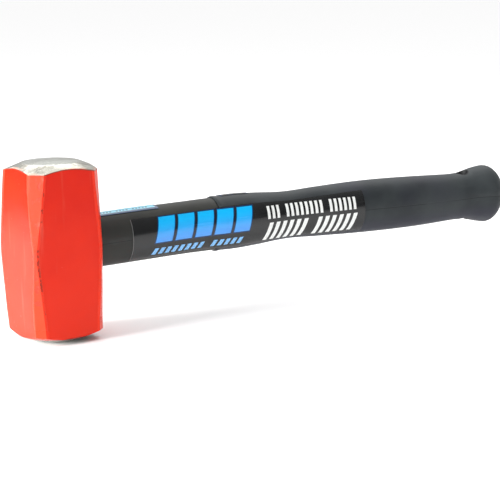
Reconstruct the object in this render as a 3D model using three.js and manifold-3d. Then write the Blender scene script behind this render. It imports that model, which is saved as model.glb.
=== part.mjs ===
// Short sledgehammer: a forged steel head on a moulded rubber handle with a core of
// spring-steel rods. Millimetres, +Z up along the head, +X along the handle to its butt.
// The origin is the middle of the lower striking face.

import * as THREE from "three";
import { mergeVertices } from "three/addons/utils/BufferGeometryUtils.js";
import Module from "manifold-3d";

const wasm = await Module();
wasm.setup();

// Head
const headHeight = 116; // between the two striking faces
const headSide = 49.2; // across the cheeks at mid height
const backBelly = 1.4; // the back face stands this far outside half a side
const neckHollow = 1.5; // the face at the neck lies this far inside half a side
const endTaper = 0.5; // each side pulls in this far at the head's ends
const flatHeight = 42; // plane middle zone of the four sides
const midChamfer = 1.4; // corner cut on a side, at mid height
const upperChamfer = 7.4; // corner cut on a side, at the upper end
const lowerChamfer = 5.6; // corner cut on a side, at the lower end
const faceFlat = 8; // flat spot in the middle of a striking face
const crownDiameter = 38; // crowned part of a striking face
const crownRadius = 150; // radius of the crown
const bevelSlope = 0.42; // fall of the turned bevel round the crown

// Handle, outside
const sectionRatio = 0.78; // width over height of the oval
const neckLength = 97.9; // from the head to the grip's ring
const neckHeight = 35.6;
const gripLength = 263.2; // from the ring to the end of the butt
const ringHeight = 37; // where the grip begins
const swellHeight = 37.9; // behind the ring
const waistHeight = 33.5; // thinnest part of the grip
const palmHeight = 38.2;
const throatHeight = 34.9; // ahead of the flare
const flareHeight = 43.8; // the butt's widest part
const buttRounding = 14; // length over which the butt closes
const eyeRise = 1.9; // the eye's axis above the head's middle
const ringRise = 2.5; // the handle's axis above the head's middle, at the ring
const buttDrop = 2.3; // the handle's axis below the head's middle, at the flare
const lanyardDiameter = 10.5;
const lanyardInset = 37.4; // from the butt's end to the hole's axis

// Eye and locking plate
const neckShoulder = 1.6; // ledge of the neck round the eye
const eyeWaist = 0.8; // the eye is this much smaller on a side at its narrowest
const plateThickness = 4;
const plateLedge = 1.4; // ledge in the head that the plate bears on
const capThickness = 2.6; // cap in front of the rod heads

// Core
const gripWall = 2.3; // rubber over the core at the grip's waist
const rodDiameter = 4.5;
const rodHeadLip = 0.8; // a rod's head stands out this far all round
const rodHeadThickness = 2.5;
const rodRowShare = 0.58; // outer rods' height, over half the narrowest height they pass
const rodColumnShare = 0.42; // rods' place across, over half the narrowest width they pass
const spacerThickness = 2.5;
const spacerInset = 1.6; // a spacer's edge inside the core's skin
const rodCover = 12; // rubber between the rods' ends and the lanyard hole
const endSpacerSetback = 6; // from the rods' ends to the last spacer

// Labels
const filmThickness = 0.25;
const frontLabel = { start: 28, end: 220, low: -62, high: 50 }; // from the head, and round the front
const neckLabel = { start: 5, end: 53, low: 71, high: 115 };
const gripLabel = { start: 105, end: 127, low: 83, high: 118 };
const labelRamp = 3; // the front label climbs onto the grip over this length

// Fits
const seatGap = 0.3; // between pieces that touch
const filmGap = 0.15; // under a label
const rodGap = 0.3; // round a rod, in what it passes through
const ovalSides = 32;
const rodSides = 8;
const rodHeadSides = 12;
const rodSteps = 12;
const faceSides = 48;

// Places along the handle
const half = headHeight / 2;
const sideReach = headSide / 2;
const backFace = -(sideReach + backBelly);
const neckFace = sideReach - neckHollow;
const handleStart = neckFace + seatGap;
const gripStart = neckFace + neckLength;
const buttEnd = gripStart + gripLength;
const lanyardX = buttEnd - lanyardInset;
const rodEnd = lanyardX - lanyardDiameter / 2 - rodCover;
const coreEnd = rodEnd + spacerThickness;
const rodStart = backFace + capThickness + seatGap;
const plateFront = rodStart + rodHeadThickness + seatGap;
const plateBack = plateFront + plateThickness;
const eyeLedge = plateBack + seatGap;

const paint = { color: 0xe63a26, roughness: 0.35, metalness: 0.1 };
const steel = { color: 0x9a9c9e, roughness: 0.35, metalness: 1 };
const springSteel = { color: 0x6f7377, roughness: 0.45, metalness: 1 };
const resin = { color: 0xd8341f, roughness: 0.5, metalness: 0 };
const rubber = { color: 0x2e3236, roughness: 0.75, metalness: 0 };
const gripRubber = { color: 0x2b2e32, roughness: 0.7, metalness: 0 };
const darkFilm = { color: 0x14171b, roughness: 0.25, metalness: 0 };
const blueFilm = { color: 0x35b6ec, roughness: 0.3, metalness: 0 };

const group = new THREE.Group();
group.name = "sledgehammer";

// Closed solid of a geometry, without the empty triangles at a lathe's poles
function solidOf(geometry) {
  geometry.deleteAttribute("normal");
  geometry.deleteAttribute("uv");
  const merged = mergeVertices(geometry, 1e-4);
  const corners = merged.index.array;
  const kept = [];
  for (let i = 0; i < corners.length; i += 3) {
    const [a, b, c] = corners.slice(i, i + 3);
    if (a !== b && b !== c && c !== a) {
      kept.push(a, b, c);
    }
  }
  const mesh = new wasm.Mesh({
    numProp: 3,
    vertProperties: new Float32Array(merged.attributes.position.array),
    triVerts: new Uint32Array(kept),
  });
  return new wasm.Manifold(mesh);
}

function addPiece(name, solid, finish) {
  const { vertProperties, triVerts } = solid.getMesh();
  const geometry = new THREE.BufferGeometry();
  geometry.setAttribute("position", new THREE.BufferAttribute(vertProperties, 3));
  geometry.setIndex(new THREE.BufferAttribute(triVerts, 1));
  geometry.computeVertexNormals();
  const piece = new THREE.Mesh(geometry, new THREE.MeshStandardMaterial(finish));
  piece.name = name;
  group.add(piece);
}

// Smooth value through [x, value] stations
function smoothThrough(stations) {
  const places = stations.map(([x]) => x);
  const values = stations.map(([, value]) => value);
  const curve = new THREE.CubicInterpolant(places, values, 1);
  return (x) => curve.evaluate(x)[0];
}

function alongGrip(share) {
  return gripStart + share * gripLength;
}

const riseAt = smoothThrough([
  [backFace, half + eyeRise],
  [neckFace, half + eyeRise],
  [gripStart, half + ringRise],
  [alongGrip(0.5), half + 0.5],
  [alongGrip(0.94), half - buttDrop],
  [buttEnd, half - buttDrop],
]);

const gripHeightAt = smoothThrough([
  [gripStart, ringHeight],
  [alongGrip(0.06), swellHeight],
  [alongGrip(0.23), waistHeight],
  [alongGrip(0.54), palmHeight],
  [alongGrip(0.815), throatHeight],
  [alongGrip(0.945), flareHeight],
  [buttEnd, flareHeight],
]);

function ovalAt(x, height, width) {
  return { x, height, width, rise: riseAt(x) };
}

function gripOval(x) {
  const height = gripHeightAt(x);
  return ovalAt(x, height, height * sectionRatio);
}

function neckOval(x) {
  return ovalAt(x, neckHeight, neckHeight * sectionRatio);
}

// The same ring, larger all round by a margin
function grown(ring, margin) {
  return { ...ring, height: ring.height + 2 * margin, width: ring.width + 2 * margin };
}

// Body along X with one oval ring at each station, closed at both ends
function ovalBody(rings) {
  const first = rings[0];
  const last = rings[rings.length - 1];
  const stations = [first, ...rings, last];
  const profile = stations.map(({ x }) => new THREE.Vector2(1, x));
  profile[0].x = 0;
  profile[profile.length - 1].x = 0;
  const geometry = new THREE.LatheGeometry(profile, ovalSides);
  geometry.rotateZ(-Math.PI / 2);
  const place = geometry.attributes.position;
  for (let i = 0; i < place.count; i += 1) {
    const ring = stations[i % stations.length];
    place.setY(i, (place.getY(i) * ring.width) / 2);
    place.setZ(i, (place.getZ(i) * ring.height) / 2 + ring.rise);
  }
  return solidOf(geometry);
}

function evenly(from, to, count) {
  return Array.from({ length: count + 1 }, (_, i) => from + ((to - from) * i) / count);
}

// Block extruded through the head from an outline of its reach at each height, turned about Z
function dieBlock(plus, minus, turn) {
  const flat = flatHeight / 2;
  const blend = (flat + half) / 2;
  const outline = new THREE.Shape();
  outline.moveTo(-minus.lower, -half);
  outline.lineTo(plus.lower, -half);
  outline.quadraticCurveTo(plus.mid, -blend, plus.mid, -flat);
  outline.lineTo(plus.mid, flat);
  outline.quadraticCurveTo(plus.mid, blend, plus.upper, half);
  outline.lineTo(-minus.upper, half);
  outline.quadraticCurveTo(-minus.mid, blend, -minus.mid, flat);
  outline.lineTo(-minus.mid, -flat);
  outline.quadraticCurveTo(-minus.mid, -blend, -minus.lower, -half);
  return throughHead(outline, turn);
}

// Wedge block whose two edges run straight from the waist to each end
function cornerBlock(reach, turn) {
  const outline = new THREE.Shape();
  const waist = 4;
  outline.moveTo(-reach.lower, -half);
  outline.lineTo(reach.lower, -half);
  outline.lineTo(reach.mid, -waist);
  outline.lineTo(reach.mid, waist);
  outline.lineTo(reach.upper, half);
  outline.lineTo(-reach.upper, half);
  outline.lineTo(-reach.mid, waist);
  outline.lineTo(-reach.mid, -waist);
  outline.closePath();
  return throughHead(outline, turn);
}

function throughHead(outline, turn) {
  const depth = 2 * headSide;
  const geometry = new THREE.ExtrudeGeometry(outline, { depth, bevelEnabled: false, curveSegments: 6 });
  geometry.translate(0, 0, -depth / 2);
  geometry.rotateX(Math.PI / 2);
  geometry.rotateZ(turn);
  geometry.translate(0, 0, half);
  return solidOf(geometry);
}

// Turned shape of the two striking faces: flat spot, crown and bevel at each end
function turnedEnds() {
  const crownEdge = crownDiameter / 2;
  const sag = (radius) => crownRadius - Math.sqrt(crownRadius ** 2 - radius ** 2);
  const lower = evenly(faceFlat / 2, crownEdge, 4).map((r) => new THREE.Vector2(r, sag(r) - sag(faceFlat / 2)));
  const rimRadius = headSide;
  const rimRise = lower[lower.length - 1].y + (rimRadius - crownEdge) * bevelSlope;
  lower.push(new THREE.Vector2(rimRadius, rimRise));
  const upper = lower.map(({ x, y }) => new THREE.Vector2(x, headHeight - y)).reverse();
  const onAxis = [new THREE.Vector2(0, 0), new THREE.Vector2(0, headHeight)];
  const geometry = new THREE.LatheGeometry([onAxis[0], ...lower, ...upper, onAxis[1]], faceSides);
  geometry.rotateX(Math.PI / 2);
  return solidOf(geometry);
}

function forgedBlock() {
  const ends = { upper: sideReach - endTaper, lower: sideReach - endTaper };
  const cheek = { mid: sideReach, ...ends };
  const back = { mid: -backFace, ...ends };
  const neck = { mid: neckFace, ...ends };
  const corner = {
    mid: (2 * sideReach - midChamfer) / Math.SQRT2,
    upper: (2 * ends.upper - upperChamfer) / Math.SQRT2,
    lower: (2 * ends.lower - lowerChamfer) / Math.SQRT2,
  };
  return dieBlock(neck, back, 0)
    .intersect(dieBlock(cheek, cheek, Math.PI / 2))
    .intersect(cornerBlock(corner, Math.PI / 4))
    .intersect(cornerBlock(corner, -Math.PI / 4))
    .intersect(turnedEnds());
}

const eyeOval = grown(neckOval(neckFace), -neckShoulder);
const eyeWaistOval = grown(eyeOval, -eyeWaist);
const plateOval = grown(eyeOval, plateLedge);

function placed(ring, x) {
  return { ...ring, x };
}

// The eye with the plate's seat
function eyeSpace() {
  return ovalBody([
    placed(plateOval, backFace - 1),
    placed(plateOval, eyeLedge),
    placed(eyeOval, eyeLedge),
    placed(eyeWaistOval, (eyeLedge + neckFace) / 2),
    placed(eyeOval, neckFace),
    placed(eyeOval, neckFace + 1),
  ]);
}

const coreHeight = waistHeight - 2 * (gripWall + seatGap);
const coreWidth = waistHeight * sectionRatio - 2 * (gripWall + seatGap);
const bundleHeight = Math.min(coreHeight, eyeWaistOval.height);
const bundleWidth = Math.min(coreWidth, eyeWaistOval.width);
const rodRow = (rodRowShare * bundleHeight) / 2;
const rodColumn = (rodColumnShare * bundleWidth) / 2;
const rodPlaces = [-1, 1].flatMap((side) => [1, 0, -1].map((row) => ({ y: side * rodColumn, z: row * rodRow })));

// One rod with its upset head, along the handle's axis, thicker and longer by a margin
function rod({ y, z }, margin) {
  const points = evenly(rodStart - margin, rodEnd + margin, rodSteps).map(
    (x) => new THREE.Vector3(x, y, riseAt(x) + z),
  );
  const section = new THREE.Shape().absarc(0, 0, rodDiameter / 2 + margin, 0, 2 * Math.PI);
  const shank = new THREE.ExtrudeGeometry(section, {
    steps: rodSteps,
    curveSegments: rodSides / 2,
    extrudePath: new THREE.CatmullRomCurve3(points),
  });
  const headRadius = rodDiameter / 2 + rodHeadLip + margin;
  const headLength = rodHeadThickness + 2 * margin;
  const upset = new THREE.CylinderGeometry(headRadius, headRadius, headLength, rodHeadSides);
  upset.rotateZ(Math.PI / 2);
  upset.translate(rodStart + rodHeadThickness / 2, y, riseAt(rodStart) + z);
  return solidOf(shank).add(solidOf(upset));
}

const rodSpaces = rodPlaces.map((place) => rod(place, rodGap)).reduce((all, one) => all.add(one));

// Oval disc across the handle, drilled for the rods
function drilledDisc(ring, from, to) {
  return ovalBody([placed(ring, from), placed(ring, to)]).subtract(rodSpaces);
}

const spacerStarts = [
  neckFace + neckLength / 2,
  alongGrip(0.38),
  rodEnd - endSpacerSetback,
];

function coreOval(x) {
  return ovalAt(x, coreHeight, coreWidth);
}

function spacerOval(x) {
  return grown(coreOval(x), -spacerInset);
}

const coreStations = evenly(gripStart, coreEnd, 10);

// Rubber moulded round the rods: the tenon in the eye, the neck, and the core inside the grip
function handleCore() {
  const tenon = [
    grown(placed(eyeOval, eyeLedge), -seatGap),
    grown(placed(eyeWaistOval, (eyeLedge + neckFace) / 2), -seatGap),
    grown(placed(eyeOval, handleStart), -seatGap),
  ];
  const neck = evenly(handleStart, gripStart - seatGap, 3).map(neckOval);
  const inner = [coreOval(gripStart - seatGap), ...coreStations.slice(1).map(coreOval)];
  let body = ovalBody([...tenon, ...neck, ...inner]).subtract(rodSpaces);
  for (const start of spacerStarts) {
    const ring = grown(spacerOval(start), seatGap);
    body = body.subtract(ovalBody([placed(ring, start - seatGap), placed(ring, start + spacerThickness + seatGap)]));
  }
  return body;
}

// Outer surface of the grip, closing over the butt's rounding
function gripStations() {
  const closing = buttEnd - buttRounding;
  const open = [...evenly(gripStart, alongGrip(0.76), 14), ...evenly(alongGrip(0.79), closing, 7)].map(gripOval);
  const round = [0.35, 0.62, 0.82, 0.94, 1].map((share) => {
    const ring = gripOval(closing + share * buttRounding);
    const scale = Math.sqrt(1 - (0.955 * share) ** 2.6);
    return { ...ring, height: ring.height * scale, width: ring.width * scale };
  });
  return [...open, ...round];
}

function gripSleeve() {
  const hollow = [placed(coreOval(gripStart), gripStart - 1), ...coreStations.map(coreOval)];
  hollow.push(coreOval(coreEnd + seatGap));
  const hole = new THREE.CylinderGeometry(lanyardDiameter / 2, lanyardDiameter / 2, 2 * flareHeight, 24);
  hole.rotateX(Math.PI / 2);
  hole.translate(lanyardX, 0, riseAt(lanyardX));
  return ovalBody(gripStations())
    .subtract(ovalBody(hollow.map((ring) => grown(ring, seatGap))))
    .subtract(solidOf(hole));
}

// Rings of the handle's outside between two places, climbing the ring step over a short ramp
function outsideRings(from, to) {
  const neck = [neckOval(gripStart - labelRamp)];
  const climb = placed(gripOval(gripStart), gripStart - seatGap);
  const between = [...neck, climb, ...gripStations()].filter(({ x }) => x > from && x < to);
  const at = (x) => (x < gripStart ? neckOval(x) : gripOval(x));
  return [at(from), ...between, at(to)];
}

// Film lying on the handle between two angles, 0 at the front and 90 on top
function film({ start, end, low, high }) {
  const rings = outsideRings(neckFace + start, neckFace + end);
  const under = rings.map((ring) => grown(ring, filmGap));
  const over = under.map((ring) => grown(ring, filmThickness));
  under[0] = placed(under[0], rings[0].x - 1);
  under[under.length - 1] = placed(under[under.length - 1], rings[rings.length - 1].x + 1);
  const sector = new THREE.Shape();
  sector.moveTo(0, 0);
  for (const degrees of evenly(low, high, 8)) {
    const turn = THREE.MathUtils.degToRad(degrees);
    sector.lineTo(-headSide * Math.cos(turn), headSide * Math.sin(turn));
  }
  const depth = end - start;
  const wedge = new THREE.ExtrudeGeometry(sector, { depth, bevelEnabled: false });
  wedge.rotateX(Math.PI / 2);
  wedge.rotateZ(Math.PI / 2);
  wedge.translate(neckFace + start, 0, riseAt(neckFace + (start + end) / 2));
  return ovalBody(over).subtract(ovalBody(under)).intersect(solidOf(wedge));
}

const forging = forgedBlock();
addPiece("head", forging.subtract(eyeSpace()), paint);

const capOval = grown(plateOval, -seatGap);
const cap = ovalBody([placed(capOval, backFace - 1), placed(capOval, plateFront - seatGap)]);
addPiece("eye_cap", cap.intersect(forging).subtract(rodSpaces), resin);
addPiece("locking_plate", drilledDisc(capOval, plateFront, plateBack), steel);

rodPlaces.forEach((place, i) => addPiece(`core_rod_${i + 1}`, rod(place, 0), springSteel));
spacerStarts.forEach((start, i) => {
  addPiece(`rod_spacer_${i + 1}`, drilledDisc(spacerOval(start), start, start + spacerThickness), steel);
});

addPiece("handle_core", handleCore(), rubber);
addPiece("grip_sleeve", gripSleeve(), gripRubber);
addPiece("front_label", film(frontLabel), darkFilm);
addPiece("neck_label", film(neckLabel), blueFilm);
addPiece("grip_label", film(gripLabel), darkFilm);

export default group;
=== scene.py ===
# Short sledgehammer: painted forged head on a moulded rubber handle
import bisect
import math

import bpy
from mathutils import Euler, Matrix, Vector


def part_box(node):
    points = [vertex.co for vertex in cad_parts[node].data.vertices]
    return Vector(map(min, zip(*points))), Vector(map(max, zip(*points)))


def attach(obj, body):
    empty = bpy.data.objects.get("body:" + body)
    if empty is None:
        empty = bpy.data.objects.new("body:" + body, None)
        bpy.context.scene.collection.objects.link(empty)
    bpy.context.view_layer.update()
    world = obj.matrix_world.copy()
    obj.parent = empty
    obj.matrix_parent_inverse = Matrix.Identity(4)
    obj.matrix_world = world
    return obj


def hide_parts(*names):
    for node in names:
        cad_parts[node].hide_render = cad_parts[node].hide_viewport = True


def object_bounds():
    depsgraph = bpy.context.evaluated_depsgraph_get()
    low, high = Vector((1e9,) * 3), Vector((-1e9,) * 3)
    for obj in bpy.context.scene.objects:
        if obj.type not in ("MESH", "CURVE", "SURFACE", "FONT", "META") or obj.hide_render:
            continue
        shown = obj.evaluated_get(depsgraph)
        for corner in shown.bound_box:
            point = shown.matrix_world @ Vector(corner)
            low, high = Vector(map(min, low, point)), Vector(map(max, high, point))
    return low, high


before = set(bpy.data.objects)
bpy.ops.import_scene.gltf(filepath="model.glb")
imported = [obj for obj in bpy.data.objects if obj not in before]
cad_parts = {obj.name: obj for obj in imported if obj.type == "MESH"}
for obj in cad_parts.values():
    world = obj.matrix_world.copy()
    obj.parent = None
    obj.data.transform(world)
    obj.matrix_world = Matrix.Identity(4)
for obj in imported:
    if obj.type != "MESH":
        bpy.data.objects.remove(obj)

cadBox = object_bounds()
mm = 0.001

# camera and light

shot = {
    "yaw": 34.44,  # turned towards the butt
    "pitch": 11.19,  # looking down
    "roll": -0.85,
    "level": 58.6,  # height in the head from which the lens's place is measured
    "aside": 125.96,  # how far the lens stands to its own right of there, then down and back
    "under": 1.24,
    "away": 1057.64,
    "lens": 118.8,
    "sensor": 36,
}


def makeCamera():
    data = bpy.data.cameras.new("camera")
    data.lens = shot["lens"]
    data.sensor_width = shot["sensor"]
    camera = bpy.data.objects.new("camera", data)
    bpy.context.scene.collection.objects.link(camera)
    aim = Euler((math.radians(90 - shot["pitch"]), 0, math.radians(-shot["yaw"]))).to_matrix()
    turn = aim @ Matrix.Rotation(math.radians(shot["roll"]), 3, "Z")
    camera.rotation_euler = turn.to_euler()
    offset = turn @ Vector((shot["aside"], -shot["under"], shot["away"]))
    camera.location = (offset + Vector((0, 0, shot["level"]))) * mm
    bpy.context.scene.camera = camera


lights = {
    "horizon": 0.5,  # how bright the studio is at eye level and, more, overhead
    "overhead": 0.95,
    "darkSide": 0.75,  # how much darker the room is behind the camera and to its right
    "darkWay": (0.55, -0.78, 0.3),  # towards there
    "sidePlace": (-1.35, 0.1, 0.38),
    "sideAim": (0, 0, 0.06),
    "sideSize": (0.7, 0.6),
    "sidePower": 58,
    "topPlace": (0.75, 0.6, 0.95),
    "topAim": (0.15, 0, 0.06),
    "topSize": (1.6, 0.45),
    "topPower": 6.0,
    "floorSize": 40.0,
    "floorDrop": 0.0003,  # how far it lies under the lower striking face
    "floorTones": ((0.93, 0.93, 0.93, 1), (0.96, 0.96, 0.96, 1)),
    "cardPlace": (-0.28, 0.40, 0.151),
    "cardTurn": 34,
    "cardWide": 0.9,
    "cardTall": 0.3,
    "cardTones": ((0.10, 0.035, 0.02, 1), (0.14, 0.05, 0.03, 1)),
    "matt": 0.9,  # roughness of the floor and the card
}


def areaLight(name, place, aim, size, power):
    data = bpy.data.lights.new(name, "AREA")
    data.shape = "RECTANGLE"
    data.size, data.size_y = size
    data.energy = power
    lamp = bpy.data.objects.new(name, data)
    bpy.context.scene.collection.objects.link(lamp)
    lamp.location = place
    lamp.rotation_euler = (Vector(aim) - Vector(place)).to_track_quat("-Z", "Y").to_euler()


def flatSheet(name, size, place, tones, grain, detail):
    deselect()
    bpy.ops.mesh.primitive_plane_add(size=size, location=place)
    sheet = bpy.context.object
    sheet.name = name
    paper = Finish(name + "Paper")
    tone = paper.mix(paper.noise(grain, detail), *tones)
    paper.principled({"Base Color": tone, "Roughness": lights["matt"]})
    sheet.data.materials.append(paper.material)
    return sheet


def makeStudio():
    world = bpy.data.worlds.new("studio")
    room = Finish("studio", world)
    dark = room.node(
        "ShaderNodeVectorMath",
        {"operation": "DOT_PRODUCT"},
        {0: room.place, 1: lights["darkWay"]},
        out="Value",
    )
    strength = lights["horizon"] + room.up.larger(0) * lights["overhead"]
    strength = strength * (1 - dark.rise(0.55, 0.95) * lights["darkSide"])
    glow = room.node("ShaderNodeBackground", {}, {"Color": (1, 1, 1, 1), "Strength": strength})
    room.node("ShaderNodeOutputWorld", {}, {"Surface": glow})
    bpy.context.scene.world = world
    bpy.context.scene.view_settings.view_transform = "Standard"
    areaLight("sideSoftbox", lights["sidePlace"], lights["sideAim"], lights["sideSize"], lights["sidePower"])
    areaLight("topSoftbox", lights["topPlace"], lights["topAim"], lights["topSize"], lights["topPower"])
    level = cadBox[0].z - lights["floorDrop"]
    floor = flatSheet("floor", lights["floorSize"], (0, 0, level), lights["floorTones"], 900, 3)
    # a warm card behind the head that only its gloss can see
    card = flatSheet("warmCard", 1, lights["cardPlace"], lights["cardTones"], 300, 2)
    card.rotation_euler = (math.pi / 2, 0, math.radians(lights["cardTurn"]))
    card.scale = (lights["cardWide"], lights["cardTall"], 1)
    card.visible_camera = card.visible_diffuse = card.visible_shadow = False


# shader helpers


class Value:  # a socket that sums can be written with
    def __init__(self, finish, socket):
        self.finish = finish
        self.socket = socket

    def sums(self, operation, *others):
        values = dict(enumerate((self, *others)))
        return self.finish.node("ShaderNodeMath", {"operation": operation}, values)

    def __add__(self, other):
        return self.sums("ADD", other)

    __radd__ = __add__

    def __mul__(self, other):
        return self.sums("MULTIPLY", other)

    __rmul__ = __mul__

    def __sub__(self, other):
        return self.sums("SUBTRACT", other)

    def __rsub__(self, other):
        return self * -1 + other

    def __truediv__(self, other):
        return self.sums("DIVIDE", other)

    def __abs__(self):
        return self.sums("ABSOLUTE")

    def fract(self):
        return self.sums("FRACT")

    def larger(self, other):
        return self.sums("MAXIMUM", other)

    def rise(self, low, high):  # 0 under low, 1 over high, smooth between
        values = {"Value": self, "From Min": low, "From Max": high}
        return self.finish.node("ShaderNodeMapRange", {"interpolation_type": "SMOOTHSTEP"}, values)

    def within(self, low, high, soft):  # 1 between the two, 0 outside
        return self.rise(low - soft, low + soft) * (1 - self.rise(high - soft, high + soft))


def between(share, first, second):  # from the first, at 0, to the second, at 1
    return share * (second - first) + first


class Finish:  # the nodes of a material, or of the studio
    def __init__(self, name, world=None):
        self.material = world or bpy.data.materials.new(name)
        self.material.use_nodes = True
        self.tree = self.material.node_tree
        self.tree.nodes.clear()
        self.place = self.node("ShaderNodeTexCoord", out="Generated" if world else "Object")
        self.across, self.deep, self.up = [
            self.node("ShaderNodeSeparateXYZ", {}, {0: self.place}, out=axis) for axis in range(3)
        ]

    def inMillimetres(self):
        return [axis * (1 / mm) for axis in (self.across, self.deep, self.up)]

    def node(self, kind, settings=None, values=None, out=0):
        made = self.tree.nodes.new(kind)
        for name, setting in (settings or {}).items():
            setattr(made, name, setting)
        for key, value in (values or {}).items():
            if isinstance(value, Value):
                self.tree.links.new(value.socket, made.inputs[key])
            else:
                made.inputs[key].default_value = value
        return Value(self, made.outputs[out]) if len(made.outputs) else made

    def noise(self, scale, detail=2, stretch=(1, 1, 1), rough=0.5):
        spot = self.node("ShaderNodeMapping", {}, {"Vector": self.place, "Scale": stretch})
        values = {"Vector": spot, "Scale": scale, "Detail": detail, "Roughness": rough}
        return self.node("ShaderNodeTexNoise", {}, values)

    def cells(self, scale):
        return self.node("ShaderNodeTexVoronoi", {}, {"Vector": self.place, "Scale": scale})

    def mix(self, factor, first, second):
        values = {0: factor, 6: first, 7: second}
        return self.node("ShaderNodeMix", {"data_type": "RGBA"}, values, out=2)

    def attribute(self, name):
        return self.node("ShaderNodeAttribute", {"attribute_name": name}, out="Fac")

    def bump(self, height, strength, distance):
        values = {"Height": height, "Strength": strength, "Distance": distance}
        return self.node("ShaderNodeBump", {}, values)

    def principled(self, values):
        shader = self.node("ShaderNodeBsdfPrincipled", {}, values)
        self.node("ShaderNodeOutputMaterial", {}, {"Surface": shader})


# modelling helpers


def deselect():
    if bpy.context.object and bpy.context.object.mode != "OBJECT":
        bpy.ops.object.mode_set(mode="OBJECT")
    bpy.ops.object.select_all(action="DESELECT")


def pick(piece):
    deselect()
    piece.select_set(True)
    bpy.context.view_layer.objects.active = piece


def modify(piece, kind, **settings):  # a modifier, applied at once
    pick(piece)
    modifier = piece.modifiers.new(kind.lower(), kind)
    for name, value in settings.items():
        setattr(modifier, name, value)
    bpy.ops.object.modifier_apply(modifier=modifier.name)


def combine(piece, tool, operation):
    modify(piece, "BOOLEAN", operation=operation, object=tool, solver="MANIFOLD")
    bpy.data.objects.remove(tool)


def editAll(piece):
    pick(piece)
    bpy.ops.object.mode_set(mode="EDIT")
    bpy.ops.mesh.select_all(action="SELECT")


def tidyMesh(piece):
    editAll(piece)
    bpy.ops.mesh.remove_doubles(threshold=0.002 * mm)
    bpy.ops.mesh.normals_make_consistent(inside=False)
    bpy.ops.object.mode_set(mode="OBJECT")


def selectPoints(piece, test):  # and leave the piece in edit mode
    pick(piece)
    bpy.ops.object.mode_set(mode="EDIT")
    bpy.context.tool_settings.mesh_select_mode = (True, False, False)
    bpy.ops.mesh.select_all(action="DESELECT")
    bpy.ops.object.mode_set(mode="OBJECT")
    for point in piece.data.vertices:
        point.select = test(point.co)
    bpy.ops.object.mode_set(mode="EDIT")


def cut(piece, point, normal, clear=False, fill=False):  # by a plane, and clear what is outside it
    editAll(piece)
    bpy.ops.mesh.bisect(plane_co=point, plane_no=normal, clear_outer=clear, use_fill=fill)
    bpy.ops.object.mode_set(mode="OBJECT")


def smooth(piece, degrees=30):
    pick(piece)
    bpy.ops.object.shade_smooth_by_angle(angle=math.radians(degrees))


def evenly(start, end, count):
    return [start + (end - start) * i / count for i in range(count + 1)]


def through(points, x):  # smooth value at x through (x, value) points
    places = [point[0] for point in points]
    x = min(max(x, places[0]), places[-1])
    i = min(max(bisect.bisect_right(places, x) - 1, 0), len(points) - 2)

    def slope(k):
        low, high = max(k - 1, 0), min(k + 1, len(points) - 1)
        return (points[high][1] - points[low][1]) / (points[high][0] - points[low][0])

    span = places[i + 1] - places[i]
    t = (x - places[i]) / span
    a, b = points[i][1], points[i + 1][1]
    return (
        a * (2 * t**3 - 3 * t**2 + 1)
        + span * slope(i) * (t**3 - 2 * t**2 + t)
        + b * (3 * t**2 - 2 * t**3)
        + span * slope(i + 1) * (t**3 - t**2)
    )


# A round or oval body grown ring by ring from a filled circle, upright and then laid along the handle.
# A ring is (place along, half height, half width, rise, offset across), in millimetres.
def ringBody(name, rings, sides=96, lying=True):
    deselect()
    along, tall, wide, rise, across = rings[0]
    bpy.ops.mesh.primitive_circle_add(vertices=sides, radius=mm, fill_type="NGON")
    piece = bpy.context.object
    piece.name = name
    editAll(piece)
    bpy.ops.transform.resize(value=(tall, wide, 1), center_override=(0, 0, 0))
    bpy.ops.transform.translate(value=(-rise * mm, across * mm, along * mm))
    for before, ring in zip(rings, rings[1:]):
        along, tall, wide, rise, across = ring
        step = ((before[3] - rise) * mm, (across - before[4]) * mm, (along - before[0]) * mm)
        bpy.ops.mesh.extrude_region_move(TRANSFORM_OT_translate={"value": step})
        growth = (tall / before[1], wide / before[2], 1)
        bpy.ops.transform.resize(value=growth, center_override=(-rise * mm, across * mm, along * mm))
    bpy.ops.mesh.select_all(action="SELECT")
    bpy.ops.mesh.normals_make_consistent(inside=False)
    bpy.ops.object.mode_set(mode="OBJECT")
    if lying:
        piece.rotation_euler = (0, math.pi / 2, 0)
        bpy.ops.object.transform_apply(location=True, rotation=True, scale=True)
    return piece


def dress(piece, finish, node):
    piece.data.materials.clear()
    piece.data.materials.append(finish)
    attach(piece, "root")
    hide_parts(node)


# shapes shared by the pieces

headLow, headHigh = (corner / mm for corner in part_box("head"))
gripLow, gripHigh = (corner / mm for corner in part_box("grip_sleeve"))
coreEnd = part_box("handle_core")[1].x / mm
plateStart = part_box("locking_plate")[0].x / mm
headMiddle = headHigh.z / 2

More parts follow.
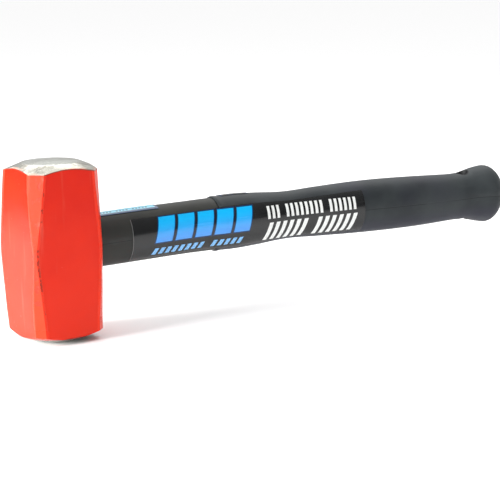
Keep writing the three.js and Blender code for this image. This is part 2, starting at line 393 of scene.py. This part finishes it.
handle = {
    "ratio": 0.78,  # width over height
    "neckHeights": [  # place from the head, height
        (0, 35.3), (36, 35.7), (72, 35.5), (90, 35.8), (100, 36.0),
    ],
    "neckSoft": 0.5,  # how far the neck's ends are rounded
    "neckSteps": 22,
    "gripHeights": [  # share of the grip's length from the ring, height
        (0, 37.0), (0.06, 37.9), (0.13, 36.6), (0.23, 33.5), (0.34, 35.5), (0.45, 37.4), (0.56, 38.1),
        (0.68, 37.3), (0.775, 35.7), (0.825, 35.0), (0.87, 37.0), (0.908, 41.1), (0.945, 43.7), (1, 43.7),
    ],
    "rises": [  # place along, height of the axis over the head's middle
        (-30, 1.9), (23, 1.9), (60, 2.35), (95, 2.6), (121, 2.5), (155, 2.2), (182, 1.85), (210, 1.4),
        (240, 0.8), (270, 0.0), (300, -0.9), (325, -1.4), (342, -1.6), (354, -1.5), (370, -2.2),
        (385, -2.3),
    ],
    "edgeRadius": 0.6,  # of the grip's front edge
    "roundShare": 0.3,  # where a rounded edge has its middle ring
    "lipHeight": 0.45,  # of the bead behind that edge
    "lipShape": [(0.6, 0.6), (1.4, 1), (2.6, 0.7), (4.5, 0.11)],  # place past the edge, share of its height
    "lipEnd": 6.5,
    "gripSteps": 110,
    "buttRounding": 16.5,
    "buttDepth": 0.965,  # a little shallower than round
    "buttLift": 1.6,  # the round end turns up a little
    "buttTurn": 80,  # how far round the end goes before its flat middle, in steps
    "buttSteps": 14,
    "lanyardDiameter": 10.5,
    "lanyardPlace": 346.8,
    "lanyardEdge": 1.8,
    "drillLength": 80,
    "drillSides": 48,
    "coreTall": 28.3,  # the neck moulding inside the grip
    "coreWide": 20.93,
    "coreSteps": 24,
    "gap": 0.3,  # between the mouldings and everything that they meet
}
eye = {
    "tall": 32.4,
    "wide": 24.57,
    "waist": 0.8,  # how much narrower all round it is in its middle
    "ledge": 1.4,  # how much wider all round it is outside the plate's seat
    "seat": -16.0,
    "mouth": 23.1,
    "past": 3,  # how far its cutter stands out of the head
    "capPast": 5,
    "capGap": 0.004,  # round the cap, which is bonded in
}
rods = {
    "row": 8.207,  # from the handle's axis, up and down
    "column": 4.395,  # and to both sides
    "radius": 2.25,
    "headLip": 0.8,
    "headLength": 2.5,
    "gap": 0.3,
    "steps": 16,
    "sides": 24,
    "spacers": 3,
    "spacerSides": 48,
}


def axisAt(x):
    return headMiddle + through(handle["rises"], x)


def oval(x, height, width=None, margin=0.0):
    width = height * handle["ratio"] if width is None else width
    return (x, height / 2 + margin, width / 2 + margin, axisAt(x), 0.0)


def neckOval(x, margin=0.0):
    return oval(x, through(handle["neckHeights"], x - eye["mouth"]), margin=margin)


def gripOval(x, margin=0.0):
    share = (x - gripLow.x) / (gripHigh.x - gripLow.x)
    return oval(x, through(handle["gripHeights"], share), margin=margin)


def coreOval(x, margin=0.0):
    return oval(x, handle["coreTall"], handle["coreWide"], margin)


def eyeRing(x, margin):
    return (x, eye["tall"] / 2 + margin, eye["wide"] / 2 + margin, axisAt(0), 0.0)


def measureAbove(piece):  # each point's height over the handle's axis, for the finishes
    measure = piece.data.attributes.new("aboveAxis", "FLOAT", "POINT")
    for i, point in enumerate(piece.data.vertices):
        measure.data[i].value = point.co.z / mm - axisAt(point.co.x / mm)


# head

head = {
    "neckHollow": 1.5,  # how far the side round the neck stands inside the other sides
    "endTaper": 0.5,
    "flatHalf": 21,  # each side is flat this far up and down from its middle
    "levels": 7,
    "cornerWaist": 4,  # and each corner this far
    "midCut": 1.4,  # what is cut off the corners at the middle, and at the upper and lower end
    "cuts": {(-1, -1): (7.5, 4.8), (-1, 1): (6.2, 5.8), (1, -1): (6.2, 5.8), (1, 1): (6.2, 5.8)},
    "faceFlat": 4,  # radii on the striking faces: a flat middle, then the crown, then the bevel
    "crownEdge": 19,
    "bevelOuter": 46,
    "crownRadius": 150,
    "crownSteps": 8,
    "crownSides": 160,
    "bevelSlope": 0.42,
    "edgeRounding": 0.9,
    "edgeAngle": 24,  # sharper edges than this are rounded
    "gridStep": 2.2,
    "waveSize": 20,
    "unevenness": 0.4,
}


def cutMiddle(outX):  # distance along plus distance across of a cut corner, at the head's middle
    side = headHigh.y
    face = -headLow.x if outX < 0 else side - head["neckHollow"]
    return face + side - head["midCut"]


def cutEnd(amount):  # and at the head's ends
    return 2 * (headHigh.y - head["endTaper"]) - amount


def shapeSides(block):
    side = headHigh.y
    end = side - head["endTaper"]
    reaches = [((1, 0), side - head["neckHollow"]), ((-1, 0), -headLow.x), ((0, 1), side), ((0, -1), side)]
    levels = evenly(headMiddle + head["flatHalf"], headHigh.z, head["levels"])
    levels += [headHigh.z - level for level in levels]
    for level in levels:
        if 0 < level < headHigh.z:
            cut(block, (0, 0, level * mm), (0, 0, 1))
    for level in levels:
        share = (abs(level - headMiddle) - head["flatHalf"]) / (headMiddle - head["flatHalf"])
        for (outX, outY), reach in reaches:
            draw = (end - reach) * share**2
            if abs(draw) < 0.0001:
                continue
            selectPoints(
                block,
                lambda p: abs(p.z / mm - level) < 0.01 and (p.x * outX + p.y * outY) / mm > reach * 0.9,
            )
            bpy.ops.transform.translate(value=(outX * draw * mm, outY * draw * mm, 0))
            bpy.ops.object.mode_set(mode="OBJECT")


def cutCorners(block):
    rootTwo = math.sqrt(2)
    for (outX, outY), (upperCut, lowerCut) in head["cuts"].items():
        middle = cutMiddle(outX) / rootTwo
        out = Vector((outX, outY, 0)) / rootTwo
        cut(block, out * middle * mm + Vector((0, 0, headMiddle * mm)), out, clear=True, fill=True)
        for sign, amount in ((1, upperCut), (-1, lowerCut)):
            reach = cutEnd(amount) / rootTwo
            slope = (middle - reach) / (headMiddle - head["cornerWaist"])
            point = out * middle + Vector((0, 0, headMiddle + sign * head["cornerWaist"]))
            cut(block, point * mm, (out + Vector((0, 0, sign * slope))).normalized(), clear=True, fill=True)


def turnedEnds():
    def sag(radius):
        return head["crownRadius"] - math.sqrt(head["crownRadius"] ** 2 - radius**2)

    radii = evenly(head["faceFlat"], head["crownEdge"], head["crownSteps"])
    lower = [(sag(r) - sag(radii[0]), r) for r in radii]
    outer = head["bevelOuter"]
    lower.append((lower[-1][0] + (outer - head["crownEdge"]) * head["bevelSlope"], outer))
    upper = [(headHigh.z - z, r) for z, r in reversed(lower)]
    rings = [(z, r, r, 0, 0) for z, r in lower + upper]
    return ringBody("turnedEnds", rings, head["crownSides"], lying=False)


def eyeTool():
    rings = [
        eyeRing(headLow.x - eye["past"], eye["ledge"]),
        eyeRing(eye["seat"], eye["ledge"]),
        eyeRing(eye["seat"], 0),
        eyeRing((eye["seat"] + eye["mouth"]) / 2, -eye["waist"]),
        eyeRing(eye["mouth"], 0),
        eyeRing(eye["mouth"] + eye["past"], 0),
    ]
    return ringBody("eyeTool", rings)


def gridOver(piece):  # fine squares over the flat faces, so that they can be uneven
    for axis in range(3):
        normal = [0, 0, 0]
        normal[axis] = 1
        low, high = headLow[axis], headHigh[axis]
        for place in evenly(low, high, int((high - low) / head["gridStep"]))[1:-1]:
            cut(piece, [n * place * mm for n in normal], normal)


def unevenSkin(piece):
    waves = bpy.data.textures.new("waves", "CLOUDS")
    waves.noise_scale = head["waveSize"] * mm
    waves.noise_depth = 2
    depth = head["unevenness"] * mm
    modify(piece, "DISPLACE", texture=waves, texture_coords="LOCAL", strength=depth, mid_level=1.0)


def forgedBlock():
    deselect()
    front = headHigh.y - head["neckHollow"]
    size = (front - headLow.x, 2 * headHigh.y, headHigh.z)
    centre = ((front + headLow.x) / 2, 0, headMiddle)
    bpy.ops.mesh.primitive_cube_add(size=1, location=[c * mm for c in centre], scale=[s * mm for s in size])
    block = bpy.context.object
    block.name = "forgedHead"
    bpy.ops.object.transform_apply(location=True, rotation=True, scale=True)
    shapeSides(block)
    cutCorners(block)
    tidyMesh(block)
    combine(block, turnedEnds(), "INTERSECT")
    tidyMesh(block)
    width, angle = head["edgeRounding"] * mm, math.radians(head["edgeAngle"])
    modify(block, "BEVEL", width=width, segments=3, limit_method="ANGLE", angle_limit=angle)
    tidyMesh(block)
    gridOver(block)
    tidyMesh(block)
    unevenSkin(block)
    return block


def makeHead(block, finish):
    combine(block, eyeTool(), "DIFFERENCE")
    tidyMesh(block)
    smooth(block)
    dress(block, finish, "head")
    print("head", len(block.data.polygons), "faces")


# handle


def rodTool(row, column, margin):
    start, end = (corner.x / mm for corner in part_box("core_rod_1"))
    start, end = start - margin, end + margin
    radius = rods["radius"] + margin
    headEnd = start + rods["headLength"] + 2 * margin
    headRadius = radius + rods["headLip"]

    def ring(x, r):
        return (x, r, r, axisAt(x) + row, column)

    rings = [ring(start, headRadius), ring(headEnd, headRadius), ring(headEnd + 0.01, radius)]
    rings += [ring(x, radius) for x in evenly(headEnd + 1, end, rods["steps"])]
    return ringBody("rodTool", rings, rods["sides"])


def rodTools(margin):
    for column in (-rods["column"], rods["column"]):
        for row in (rods["row"], 0, -rods["row"]):
            yield rodTool(row, column, margin)


def makeCap(block, finish):  # cut from the same block as the head, so its face runs on
    pick(block)
    bpy.ops.object.duplicate()
    cap = bpy.context.object
    cap.name = "eyeCap"
    margin = eye["ledge"] - eye["capGap"]
    outline = [eyeRing(headLow.x - eye["capPast"], margin), eyeRing(plateStart - handle["gap"], margin)]
    combine(cap, ringBody("capTool", outline), "INTERSECT")
    for tool in rodTools(rods["gap"]):
        combine(cap, tool, "DIFFERENCE")
    tidyMesh(cap)
    smooth(cap)
    dress(cap, finish, "eye_cap")


def makeNeck(finish):
    gap = handle["gap"]
    start = eye["mouth"] + gap
    under = gripLow.x - gap
    soft = handle["neckSoft"]
    part = soft * handle["roundShare"]
    tenon = [
        eyeRing(eye["seat"], -gap),
        eyeRing((eye["seat"] + eye["mouth"]) / 2, -eye["waist"] - gap),
        eyeRing(start, -gap),
    ]
    neck = [neckOval(start, -soft), neckOval(start + part, -part)]
    neck += [neckOval(x) for x in evenly(start + soft, under - soft, handle["neckSteps"])]
    neck += [neckOval(under - part, -part), neckOval(under, -soft)]
    core = [coreOval(x) for x in evenly(under, coreEnd, handle["coreSteps"])]
    piece = ringBody("neckMoulding", tenon + neck + core)
    for tool in rodTools(rods["gap"]):
        combine(piece, tool, "DIFFERENCE")
    for i in range(rods["spacers"]):
        low, high = (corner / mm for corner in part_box(f"rod_spacer_{i + 1}"))
        tall, wide = high.z - low.z + 2 * gap, high.y - low.y + 2 * gap
        discRings = [oval(low.x - gap, tall, wide), oval(high.x + gap, tall, wide)]
        combine(piece, ringBody("spacerTool", discRings, rods["spacerSides"]), "DIFFERENCE")
    tidyMesh(piece)
    smooth(piece)
    measureAbove(piece)
    dress(piece, finish, "handle_core")
    print("neck", len(piece.data.polygons), "faces")


def gripRings():
    start, end = gripLow.x, gripHigh.x
    edge = handle["edgeRadius"]
    part = edge * handle["roundShare"]
    closing = end - handle["buttRounding"]
    rings = [gripOval(start, -edge), gripOval(start + part, -part)]
    rings += [gripOval(start + x, handle["lipHeight"] * share) for x, share in handle["lipShape"]]
    rings += [gripOval(x) for x in evenly(start + handle["lipEnd"], closing, handle["gripSteps"])]
    for turn in evenly(0, handle["buttTurn"], handle["buttSteps"])[1:]:
        x = closing + handle["buttRounding"] * math.sin(math.radians(turn)) * handle["buttDepth"]
        along, tall, wide, rise, across = gripOval(x)
        shrink = math.cos(math.radians(turn))
        lift = (1 - shrink) * handle["buttLift"]
        rings.append((along, tall * shrink, wide * shrink, rise + lift, across))
    return rings


def makeGrip(finish):
    piece = ringBody("gripSleeve", gripRings())
    gap = handle["gap"]
    hollow = [coreOval(gripLow.x - 2, gap)]
    hollow += [coreOval(x, gap) for x in evenly(gripLow.x, coreEnd + gap, handle["coreSteps"])]
    combine(piece, ringBody("hollowTool", hollow), "DIFFERENCE")
    place, radius = handle["lanyardPlace"], handle["lanyardDiameter"] / 2
    centre = (place * mm, 0, axisAt(place) * mm)
    length = handle["drillLength"] * mm
    deselect()
    bpy.ops.mesh.primitive_cylinder_add(
        vertices=handle["drillSides"], radius=radius * mm, depth=length, location=centre
    )
    drill = bpy.context.object
    bpy.ops.object.transform_apply(location=True, rotation=True, scale=True)
    combine(piece, drill, "DIFFERENCE")
    tidyMesh(piece)
    roundHoleEdges(piece, place, radius)
    smooth(piece, 40)
    measureAbove(piece)
    dress(piece, finish, "grip_sleeve")
    print("grip", len(piece.data.polygons), "faces")


def roundHoleEdges(piece, place, radius):
    def onRim(point):
        away = math.hypot(point.x / mm - place, point.y / mm)
        return abs(away - radius) < 0.05 and abs(point.z / mm - axisAt(place)) > 10

    selectPoints(piece, onRim)
    bpy.ops.mesh.select_mode(type="EDGE")
    bpy.ops.mesh.bevel(offset=handle["lanyardEdge"] * mm, segments=4, profile=0.5, clamp_overlap=True)
    bpy.ops.mesh.select_all(action="SELECT")
    bpy.ops.mesh.normals_make_consistent(inside=False)
    bpy.ops.object.mode_set(mode="OBJECT")


# labels

labels = {
    "lift": 0.15,
    "thickness": 0.2,
    "sides": 192,
    "step": 2,
    "spare": 3,  # cut off again at both ends
    "climb": 3.0,  # how far ahead of the grip's edge the film leaves the neck
    "landing": 1,  # and how far behind it meets the grip
    "lipRun": 5,
    "front": {"start": 51.1, "end": 243.0, "low": -62, "high": 50},  # places along, and degrees round
    "neck": {"start": 28.2, "end": 76.0, "low": 71, "high": 114},
    "grip": {"start": 128.2, "end": 150.0, "low": 83.5, "high": 117},
}


def outerRings(start, end, margin):
    ring = gripLow.x
    rings = []
    for x in evenly(start, end, max(6, int((end - start) / labels["step"]))):
        if x < ring - labels["climb"]:
            rings.append(neckOval(x, margin))
        elif x > ring + labels["landing"]:
            overLip = max(0, handle["lipHeight"] * (1 - (x - ring) / labels["lipRun"]))
            rings.append(gripOval(x, margin + overLip))
    return rings


def makeLabel(name, key, finish, node):
    label = labels[key]
    rings = outerRings(label["start"] - labels["spare"], label["end"] + labels["spare"], labels["lift"])
    piece = ringBody(name, rings, labels["sides"])
    cut(piece, (label["start"] * mm, 0, 0), (-1, 0, 0), clear=True)
    cut(piece, (label["end"] * mm, 0, 0), (1, 0, 0), clear=True)
    axis = Vector((0, 0, axisAt((label["start"] + label["end"]) / 2) * mm))
    for degrees, sign in ((label["high"], 1), (label["low"], -1)):
        turn = math.radians(degrees)
        cut(piece, axis, Vector((0, math.sin(turn), math.cos(turn))) * sign, clear=True)
    modify(piece, "SOLIDIFY", thickness=labels["thickness"] * mm, offset=1.0)
    smooth(piece)
    measureAbove(piece)
    dress(piece, finish, node)
    print(name, len(piece.data.polygons), "faces")


# finishes

paint = {
    "red": (0.71, 0.024, 0.0062, 1),
    "deep": (0.61, 0.013, 0.0040, 1),
    "orange": (0.84, 0.048, 0.018, 1),
    "pit": (0.19, 0.030, 0.018, 1),
    "overspray": (0.74, 0.34, 0.24, 1),
    "line": (0.12, 0.035, 0.025, 1),
    "steel": (0.66, 0.68, 0.62, 1),
    "steelDark": (0.42, 0.42, 0.37, 1),
    "bevelSteel": (0.46, 0.45, 0.39, 1),
    "bevelDark": (0.22, 0.205, 0.17, 1),
    "upperEdge": 6.36,  # where the paint ends above: height past the end, plus radius times bevelSlope
    "lowerEdge": 54.6,  # where it ends below, from the head's middle
    "bareLevel": 55.4,  # past here the upper face is bare whatever the radius
    "crownLevel": 56.4,  # from here the steel is the polished crown's
    "mistStart": 22.4,  # how far out the spray on the bevel begins
    "mistCorner": 0.58,
    "pitsMiddle": 4,  # over the head's middle, and how far the pits go up and down from there
    "pitsHalf": 44,
    "beadLow": 35,  # heights between which the near corner is roughest
    "beadHigh": 62,
}


def headFinish():
    coat = Finish("headPaint")
    x, y, z = coat.inMillimetres()
    radius = (x * x + y * y).sums("SQRT")
    fromMiddle = abs(z - headMiddle)
    patches = coat.noise(38, 3)
    speckle = coat.noise(420, 4, rough=0.6)
    pits = coat.noise(420, 3, rough=0.65)
    upper = z.rise(headMiddle - 1, headMiddle + 1)
    # how far out the cut corners stand at each height, on the neck's side and on the far one
    neckSide = x.rise(-2, 2)
    farUpper, farLower = [cutEnd(amount) for amount in head["cuts"][-1, -1]]
    neckUpper, neckLower = [cutEnd(amount) for amount in head["cuts"][1, -1]]
    cornerMiddle = between(neckSide, cutMiddle(-1), cutMiddle(1))
    cornerEnd = between(neckSide, between(upper, farLower, farUpper), between(upper, neckLower, neckUpper))
    share = (fromMiddle - head["cornerWaist"]).larger(0) / (headMiddle - head["cornerWaist"])
    fromCut = abs(x) + abs(y) - between(share, cornerMiddle, cornerEnd) + (patches - 0.5) * 0.6
    corner = fromCut.rise(-2.6, -1.4)
    nearCorner = corner * (1 - neckSide * 0.75)
    # random darker patches, and painted shade that darkens the red towards the top
    red = coat.mix(((patches - 0.5) * 0.8 + z / 150).rise(0.05, 0.95), paint["red"], paint["deep"])
    # the cut corners turn more orange: thinner paint there, and a painted highlight where they catch the
    # light
    red = coat.mix(corner * 0.6, red, paint["orange"])
    brushed = coat.noise(180, 3, (1, 1, 0.08)).rise(0.6, 0.8)
    red = coat.mix(brushed * 0.2, red, paint["overspray"])
    # scale pits in the cut corners and a few blemishes elsewhere
    fromPits = abs(z - headMiddle - paint["pitsMiddle"])
    rough = nearCorner * (1 - fromPits.rise(paint["pitsHalf"], paint["pitsHalf"] + 8))
    bead = rough * z.within(paint["beadLow"], paint["beadHigh"], 3) * y.rise(2, -2)
    pitMask = (pits.rise(0.57, 0.65) * rough).larger(pits.rise(0.46, 0.56) * bead)
    dots = (1 - coat.cells(75).rise(0.08, 0.14)) * coat.noise(21, 1).rise(0.55, 0.62)
    red = coat.mix((pitMask * 0.7).larger(dots * 0.4), red, paint["pit"])
    # the paint stops at the turned bevel above, and runs over it below
    wander = (coat.noise(160, 3) - 0.5) * 0.5
    edge = fromMiddle + radius * head["bevelSlope"] + wander
    end = headMiddle + paint["upperEdge"]
    lowerEdge = fromMiddle + wander * 2
    lowerEnd = paint["lowerEdge"]
    level = paint["bareLevel"]
    bare = upper * edge.rise(end, end + 0.1).larger(fromMiddle.rise(level, level + 0.2))
    bare = bare.larger((1 - upper) * lowerEdge.rise(lowerEnd, lowerEnd + 0.3))
    fringe = upper * edge.rise(end - 0.66, end - 0.26)
    fringe = fringe.larger((1 - upper) * lowerEdge.rise(lowerEnd - 0.9, lowerEnd - 0.4))
    outward = abs(x).larger(abs(y)).larger((abs(x) + abs(y)) * paint["mistCorner"])
    mist = bare * upper * (outward + wander * 2).rise(paint["mistStart"], paint["mistStart"] + 1.5)
    turned = coat.node(
        "ShaderNodeTexNoise",
        {"noise_dimensions": "1D"},
        {"W": radius + fromMiddle * 0.5, "Scale": 2.6, "Detail": 4},
    )
    ground = coat.noise(75, 4, (0.4, 1, 1), 0.6)
    steel = coat.mix((turned * 0.4 + ground * 0.6).rise(0.44, 0.6), paint["steel"], paint["steelDark"])
    bevelSteel = coat.mix(ground.rise(0.42, 0.58), paint["bevelSteel"], paint["bevelDark"])
    steel = coat.mix(fromMiddle.rise(paint["crownLevel"], paint["crownLevel"] + 0.7), bevelSteel, steel)
    steel = coat.mix(mist * coat.noise(200, 3).rise(0.4, 0.6) * 0.75, steel, paint["overspray"])
    colour = coat.mix(fringe * 0.8, red, paint["line"])
    colour = coat.mix(bare, colour, steel)
    height = patches * 0.15 + speckle * 0.05 - pitMask * 0.6 + rough * pits * 0.6
    dull = 0.25 + (speckle - 0.5) * 0.12 + rough * 0.15
    coat.principled(
        {
            "Base Color": colour,
            "Metallic": bare * (1 - mist * 0.6),
            "Roughness": dull * (1 - bare) + (0.10 + ground * 0.22) * bare,
            "Specular IOR Level": 0.16,
            "Normal": coat.bump(height * (1 - bare) + (turned * 0.15 + ground * 1.5) * bare, 0.35, 0.0006),
        }
    )
    return coat.material


rubber = {
    "neck": ((0.028, 0.029, 0.026, 1), (0.043, 0.044, 0.038, 1)),
    "grip": ((0.023, 0.028, 0.031, 1), (0.042, 0.049, 0.052, 1)),
    # for random blue patches, and for painted reflected light under the handle
    "bluePatchesAndUnderReflection": (0.032, 0.030, 0.050, 1),
    # for real scuffs, and for the painted highlight just above the parting line
    "scuffAndHighlight": (0.080, 0.085, 0.088, 1),
    "parting": (0.010, 0.011, 0.012, 1),
    # painted shade inside the lanyard hole
    "holeShade": (0.006, 0.006, 0.007, 1),
    "partingPlace": -0.4,  # from the handle's axis
}


def rubberFinish(name, tones, blue):
    skin = Finish(name)
    x, y, _ = skin.inMillimetres()
    above = skin.attribute("aboveAxis")
    cloudy = skin.noise(26, 3)
    grain = skin.noise(1900, 2)
    scuff = skin.noise(90, 4, (0.25, 1, 1), 0.6).rise(0.56, 0.76)
    fromLine = above - rubber["partingPlace"] + (skin.noise(60, 2) - 0.5) * 0.5
    parting = (1 - abs(fromLine).rise(0.08, 0.26)) * skin.noise(35, 2).rise(0.3, 0.5)
    # a painted highlight: a lighter line just above the parting line
    lit = 1 - abs(fromLine - 0.4).rise(0.08, 0.3)
    tone = skin.mix(cloudy.rise(0.35, 0.7), *tones)
    # painted reflected light: a purplish blue tint under the handle, on top of random blue patches
    under = 1 - above.rise(-15, -3)
    bluePatchesAndUnderReflection = (skin.noise(15, 2).rise(0.45, 0.65) * 0.6).larger(under * 0.8) * blue
    tone = skin.mix(bluePatchesAndUnderReflection, tone, rubber["bluePatchesAndUnderReflection"])
    # scuffs, and the painted highlight above the parting line
    tone = skin.mix((scuff * 0.25).larger(lit * 0.12), tone, rubber["scuffAndHighlight"])
    tone = skin.mix(parting * 0.9, tone, rubber["parting"])
    # painted shade: the wall of the lanyard hole is darkened
    along = x - handle["lanyardPlace"]
    fromHole = (along * along + y * y).sums("SQRT") - handle["lanyardDiameter"] / 2
    tone = skin.mix((1 - fromHole.rise(0.35, 1.15)) * 0.9, tone, rubber["holeShade"])
    skin.principled(
        {
            "Base Color": tone,
            "Roughness": 0.5 + (cloudy - 0.5) * 0.2 + grain * 0.08,
            "Specular IOR Level": 0.22,
            "Normal": skin.bump(grain * 0.25 + cloudy * 1.5 - parting * 1.6, 0.3, 0.0003),
        }
    )
    return skin.material


prints = {
    "brightBlue": (0.0, 0.50, 1.0, 1),
    "lowBlue": (0.07, 0.33, 0.87, 1),
    "paleBlue": (0.22, 0.52, 0.92, 1),
    "edgeBlue": (0.0, 0.03, 0.12, 1),
    "white": (0.88, 0.90, 0.88, 1),
    "film": (0.010, 0.0105, 0.011, 1),
    "filmWorn": (0.018, 0.019, 0.020, 1),
    "cutEdge": (0.22, 0.23, 0.23, 1),
    "cyan": (0.10, 0.50, 0.66, 1),
    "cyanLight": (0.28, 0.70, 0.82, 1),
    "black": (0.010, 0.010, 0.011, 1),
    "blackWorn": (0.020, 0.020, 0.021, 1),
    # rows of plain bars, with places along the handle and heights over its axis
    "boxEdges": dict(start=68, end=145, low=-5.6, high=12.4, count=5, share=0.92, slant=0.25),
    "boxes": dict(start=68, end=145, low=-4.8, high=11.6, count=5, share=0.82, slant=0.25),
    "dashes": dict(start=71, end=143, low=-13.2, high=-8.8, count=14, share=0.6, slant=0.4, blanks=(8,)),
    "ticks": dict(start=157.5, end=236, low=1.3, high=10.0, count=19, share=0.55, slant=0, blanks=(3, 12)),
    "blocks": dict(start=159, end=238, low=-13.8, high=-1.4, count=13, share=0.55, slant=0.3, blanks=(6,)),
    "marks": dict(low=-3.4, high=-1.8, count=15, share=0.6, slant=0.3, blanks=(4, 9)),  # on the top films
    "filmFront": -4.2,  # where the top films' dark front border ends
}


# One row of slanted bars inside a zone, 1 on the bars. Bars are left out at the blanks.
def barRow(x, above, start, end, low, high, count, share, slant, blanks=()):
    cell = (x - above * slant - start) * (count / (end - start))
    bars = cell.fract().within(0.5 - share / 2, 0.5 + share / 2, 0.02)
    for blank in blanks:
        bars = bars * (1 - cell.within(blank, blank + 1, 0.01))
    return bars * cell.within(0, count, 0.01) * above.within(low, high, 0.12)


def frontFilmFinish():
    film = Finish("frontFilm")
    above = film.attribute("aboveAxis")
    x = film.inMillimetres()[0]
    cloudy = film.noise(45, 2)
    wrinkles = film.noise(80, 3, (0.06, 1, 1))
    scratches = film.noise(300, 3, (0.05, 1, 1)).rise(0.62, 0.8)
    blue = film.mix(above.rise(-5, 11), prints["lowBlue"], prints["brightBlue"])
    names = ("boxEdges", "boxes", "dashes", "ticks", "blocks")
    rows = {name: barRow(x, above, **prints[name]) for name in names}
    start = labels["front"]["start"]
    border = 1 - x.rise(start + 0.25, start + 0.4)
    tone = film.mix(cloudy.rise(0.3, 0.8) * 0.5, prints["film"], prints["filmWorn"])
    tone = film.mix(rows["boxEdges"] * 0.9, tone, prints["edgeBlue"])
    tone = film.mix(rows["boxes"], tone, blue)
    tone = film.mix(rows["dashes"] * 0.95, tone, prints["paleBlue"])
    tone = film.mix(rows["ticks"].larger(rows["blocks"]), tone, prints["white"])
    tone = film.mix(border * 0.8, tone, prints["cutEdge"])
    film.principled(
        {
            "Base Color": tone,
            "Roughness": 0.12 + scratches * 0.25 + cloudy * 0.06,
            "Normal": film.bump(wrinkles * 2.0 + scratches * 0.2, 0.25, 0.0003),
        }
    )
    return film.material


def topFilmFinish(name, key, colour, light, roughness):
    film = Finish(name)
    x, y, _ = film.inMillimetres()
    start, end = labels[key]["start"], labels[key]["end"]
    cloudy = film.noise(60, 3)
    streak = film.noise(120, 2, (0.1, 1, 1))
    tone = film.mix((cloudy * 0.5 + streak * 0.5).rise(0.3, 0.75), colour, light)
    border = 1 - y.rise(prints["filmFront"], prints["filmFront"] + 0.3)
    border = border.larger(1 - x.within(start + 0.5, end - 1.8, 0.15))
    tone = film.mix(border * 0.97, tone, prints["edgeBlue"])
    # a row of small plain marks along the front
    marks = barRow(x, y, start + 5, end - 6, **prints["marks"])
    tone = film.mix(marks * 0.8, tone, prints["edgeBlue"])
    film.principled(
        {
            "Base Color": tone,
            "Roughness": roughness + cloudy * 0.1,
            "Normal": film.bump(cloudy, 0.1, 0.0003),
        }
    )
    return film.material


hiddenSteel = {  # light and dark tone, roughness, and how the grain is stretched
    "rodSteel": ((0.34, 0.35, 0.37, 1), (0.22, 0.22, 0.24, 1), 0.3, (0.04, 1, 1)),
    "plateSteel": ((0.5, 0.5, 0.5, 1), (0.34, 0.34, 0.35, 1), 0.32, (1, 0.06, 1)),
}


def steelFinish(name):
    light, dark, roughness, stretch = hiddenSteel[name]
    metal = Finish(name)
    grain = metal.noise(500, 3, stretch)
    metal.principled(
        {
            "Base Color": metal.mix(grain.rise(0.35, 0.7), light, dark),
            "Metallic": 1.0,
            "Roughness": roughness + grain * 0.15,
            "Normal": metal.bump(grain, 0.2, 0.0001),
        }
    )
    return metal.material


def dressHiddenSteel():  # the plate, rods and spacers keep their own shapes
    rodSteel = steelFinish("rodSteel")
    plateSteel = steelFinish("plateSteel")
    for name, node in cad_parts.items():
        if name.startswith(("core_rod", "rod_spacer", "locking_plate")):
            slot = node.material_slots[0]
            slot.link = "OBJECT"
            slot.material = rodSteel if name.startswith("core_rod") else plateSteel


# build

makeCamera()
makeStudio()
print("camera and studio ready")

headPaint = headFinish()
block = forgedBlock()
makeCap(block, headPaint)
makeHead(block, headPaint)
print("head ready")

makeNeck(rubberFinish("neckRubber", rubber["neck"], 0.1))
makeGrip(rubberFinish("gripRubber", rubber["grip"], 0.7))
print("handle ready")

makeLabel("frontLabel", "front", frontFilmFinish(), "front_label")
neckFilm = topFilmFinish("neckFilm", "neck", prints["cyan"], prints["cyanLight"], 0.25)
makeLabel("neckLabel", "neck", neckFilm, "neck_label")
gripFilm = topFilmFinish("gripFilm", "grip", prints["black"], prints["blackWorn"], 0.12)
makeLabel("gripLabel", "grip", gripFilm, "grip_label")
dressHiddenSteel()
print("labels and hidden steel ready")
